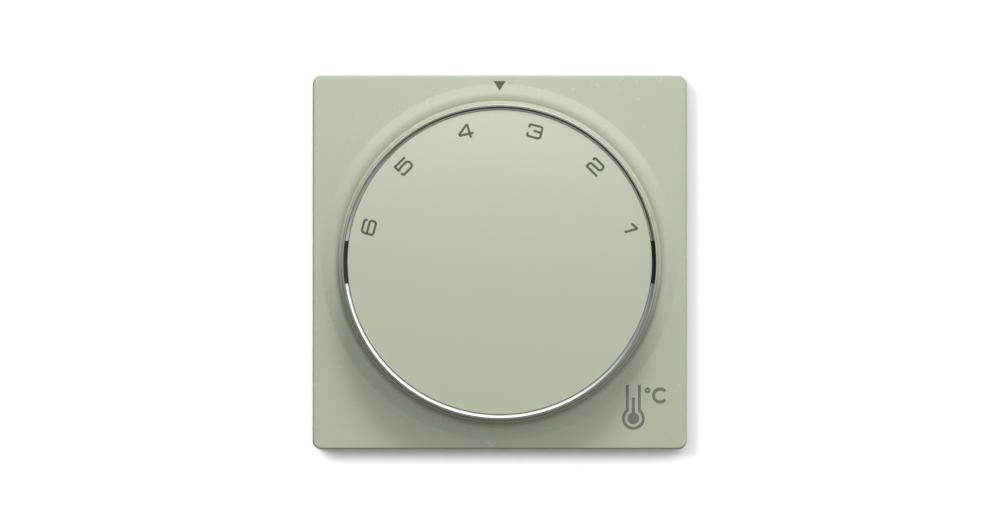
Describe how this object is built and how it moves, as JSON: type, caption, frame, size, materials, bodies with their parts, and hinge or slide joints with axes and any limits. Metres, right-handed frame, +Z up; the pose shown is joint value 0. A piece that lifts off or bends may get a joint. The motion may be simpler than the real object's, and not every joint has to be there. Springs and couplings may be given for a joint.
{
  "type": "wall thermostat",
  "caption": "Flush-mounted room thermostat: square cover plate with a large round setting dial, and behind it a bimetal switch insert for a wall box.",
  "frame": {"origin": "centre of the wall box on the wall plane, which is the back face of the support plate", "axes": "+Y into the wall along the dial's axis, +Z up, front faces -Y"},
  "size_m": [0.07, 0.041, 0.07],
  "materials": {
    "sage_plastic": "fine satin moulded sage-green plastic",
    "chrome_trim": "polished chrome plating",
    "black_plastic": "smooth black plastic",
    "blue_plastic": "moulded blue plastic",
    "red_plastic": "moulded red plastic",
    "zinc_plated": "zinc-plated steel",
    "light_grey_plastic": "matt light grey thermoset",
    "dark_grey_plastic": "matt dark grey thermoset",
    "acetal": "white acetal",
    "brass": "bright brass",
    "copper": "bare copper braid",
    "silver_contact": "silver contact metal",
    "bimetal": "rolled bimetal strip",
    "ferrite": "sintered dark magnet",
    "ceramic": "lacquered ceramic resistor body"
  },
  "bodies": {
    "frame": {"cover_plate": "sage_plastic", "cover_screw": "zinc_plated", "support_plate": "zinc_plated", "insert_lid": "light_grey_plastic", "insert_base": "dark_grey_plastic", "housing_screw_1": "zinc_plated", "housing_screw_2": "zinc_plated", "lever_pin": "zinc_plated", "lever_spring": "zinc_plated", "lever_braid": "copper", "bimetal_post": "brass", "strip_screw": "zinc_plated", "magnet": "ferrite", "accelerator_resistor": "ceramic", "busbar_live": "brass", "busbar_neutral": "brass", "busbar_load": "brass", "terminal_clamp_1": "brass", "terminal_clamp_2": "brass", "terminal_clamp_3": "brass", "terminal_clamp_4": "brass", "terminal_screw_1": "zinc_plated", "terminal_screw_2": "zinc_plated", "terminal_screw_3": "zinc_plated", "terminal_screw_4": "zinc_plated"},
    "dial": {"dial_body": "sage_plastic", "dial_face": "sage_plastic", "trim_carrier": "black_plastic", "trim_arc_upper": "chrome_trim", "trim_arc_lower": "chrome_trim", "hub_clip": "zinc_plated", "setting_shaft": "zinc_plated", "shaft_circlip": "zinc_plated", "set_cam": "acetal"},
    "lever": {"set_lever": "zinc_plated", "lever_contact": "silver_contact", "calibration_screw": "brass"},
    "strip": {"bimetal_strip": "bimetal", "bimetal_contact": "silver_contact"},
    "min_ring": {"range_ring_min": "blue_plastic"},
    "max_ring": {"range_ring_max": "red_plastic"}
  },
  "joints": [
    {"name": "dial_turn", "type": "hinge", "parent": "frame", "child": "dial", "pos_m": [0, 0, 0], "axis": [0, 1, 0], "range_deg": [-75, 75]},
    {"name": "lever_tilt", "type": "hinge", "parent": "frame", "child": "lever", "pos_m": [0, -0.0004, -0.018], "axis": [1, 0, 0], "range_deg": [-1.35, 1.35]},
    {"name": "bimetal_flex", "type": "hinge", "parent": "frame", "child": "strip", "pos_m": [-0.0177, -0.0043, 0.013], "axis": [0, 0, -1], "range_deg": [-2.2, 1.9], "stiffness_Nm_per_rad": 0.02},
    {"name": "range_min_turn", "type": "hinge", "parent": "frame", "child": "min_ring", "pos_m": [0, 0, 0], "axis": [0, 1, 0], "range_deg": [0, 60]},
    {"name": "range_max_turn", "type": "hinge", "parent": "frame", "child": "max_ring", "pos_m": [0, 0, 0], "axis": [0, 1, 0], "range_deg": [-60, 0]}
  ],
  "couplings": [
    {"joint": "lever_tilt", "follows": "dial_turn", "ratio": 0.01725}
  ]
}
